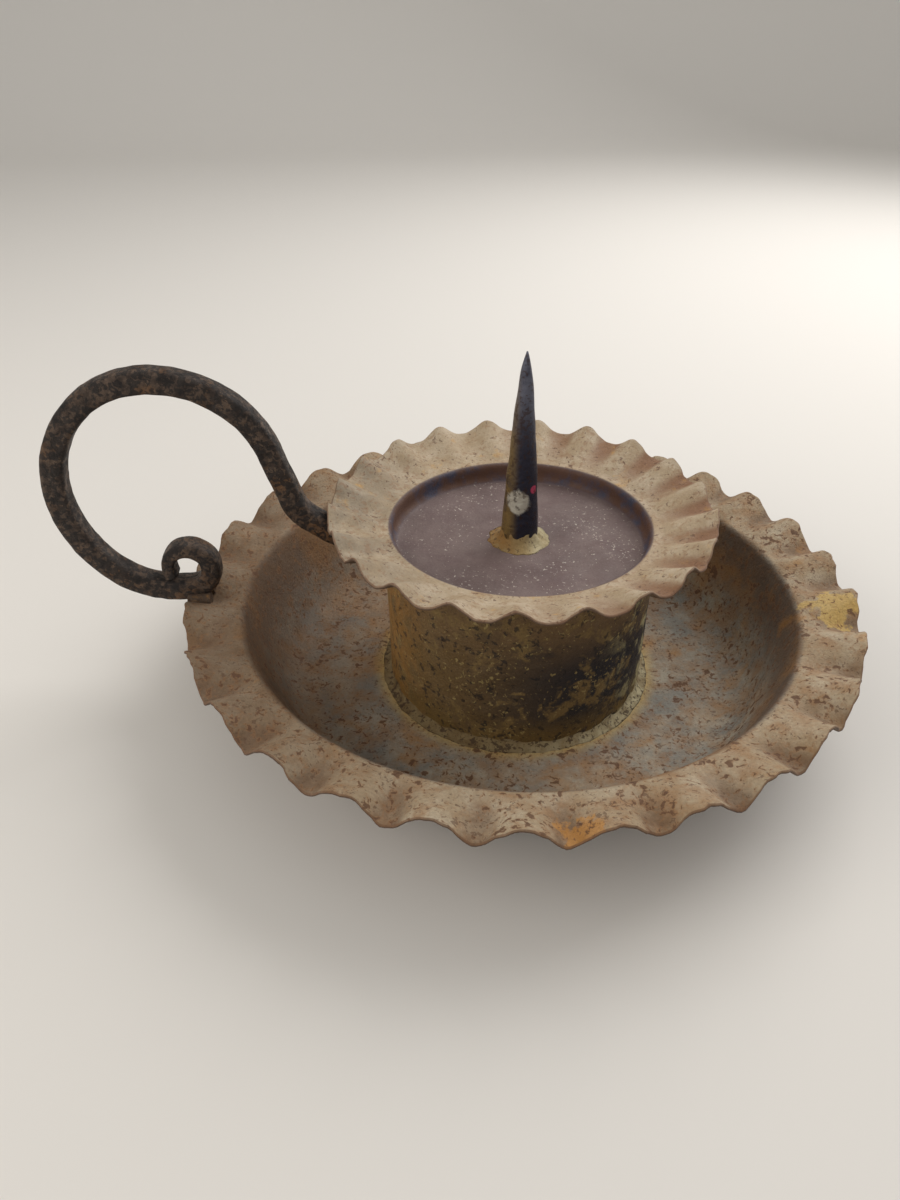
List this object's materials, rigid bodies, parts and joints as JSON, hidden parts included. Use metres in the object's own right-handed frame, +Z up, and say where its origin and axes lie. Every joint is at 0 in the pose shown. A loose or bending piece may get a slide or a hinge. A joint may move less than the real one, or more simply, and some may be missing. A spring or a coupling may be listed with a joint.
{
  "type": "candle holder",
  "caption": "Wrought iron chamberstick: a crimped drip tray carries a drum with a crimped candle plate and a forged spike, and a looped square bar handle ends in a scroll.",
  "frame": {"origin": "centre of the drip tray's flat underside, on the axis of the drum and the spike", "axes": "+Z up along the spike, -X towards the handle"},
  "size_m": [0.2636, 0.2264, 0.1177],
  "materials": {
    "tray_sheet": "matt, weathered paint with rust specks",
    "plate_sheet": "matt, weathered paint with brown rust in the crimps",
    "drum_paint": "satin black paint, worn to brown and ochre rust",
    "pricket_steel": "forged, rubbed bright near the tip",
    "forged_bar": "hammered, dark brown scale",
    "weld_bead": "rough",
    "weld_fillet": "rough, ochre deposit"
  },
  "bodies": {
    "root": {"drip_tray": "tray_sheet", "drum": "drum_paint", "drum_seam_weld": "weld_bead", "drum_base_weld": "weld_fillet", "candle_plate": "plate_sheet", "plate_tack_welds": "weld_bead", "pricket": "pricket_steel", "pricket_braze": "weld_fillet", "handle": "forged_bar", "handle_drum_weld": "weld_bead", "handle_rim_weld": "weld_bead"}
  },
  "joints": []
}
